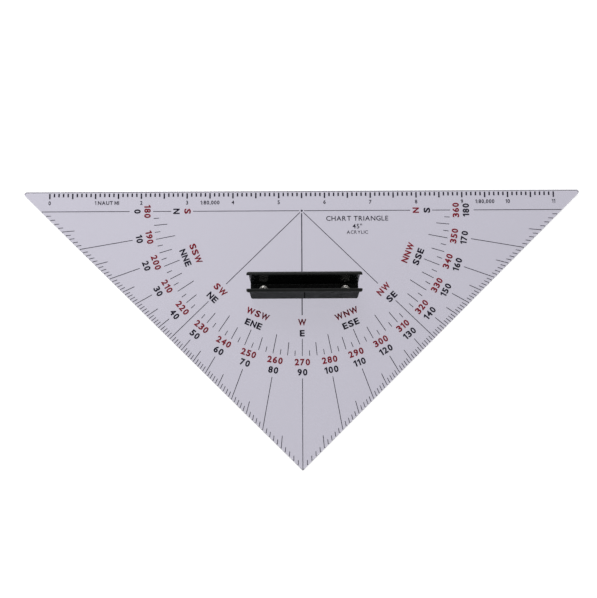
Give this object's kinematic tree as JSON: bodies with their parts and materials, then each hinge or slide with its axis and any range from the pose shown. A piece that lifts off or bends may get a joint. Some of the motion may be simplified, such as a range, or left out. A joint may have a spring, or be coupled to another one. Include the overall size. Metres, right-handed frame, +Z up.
{
  "type": "protractor triangle",
  "caption": "Clear 45-45-90 navigation triangle with printed protractor, compass points and mile scale, and a black channel handle held by screws.",
  "frame": {"origin": "middle of the box around the triangle, on the underside that lies on the chart", "axes": "+X along the long edge, +Y from the right-angled tip towards the long edge, +Z up through the handle"},
  "size_m": [0.28, 0.1414, 0.0215],
  "materials": {
    "clear_acrylic": "polished clear sheet",
    "black_moulding": "semi-gloss black moulding",
    "screw_steel": "bright nickel plated",
    "black_ink": "black printing ink",
    "red_ink": "red printing ink"
  },
  "bodies": {
    "root": {"plate": "clear_acrylic", "handle": "black_moulding", "screw_left": "screw_steel", "screw_right": "screw_steel"}
  },
  "joints": []
}
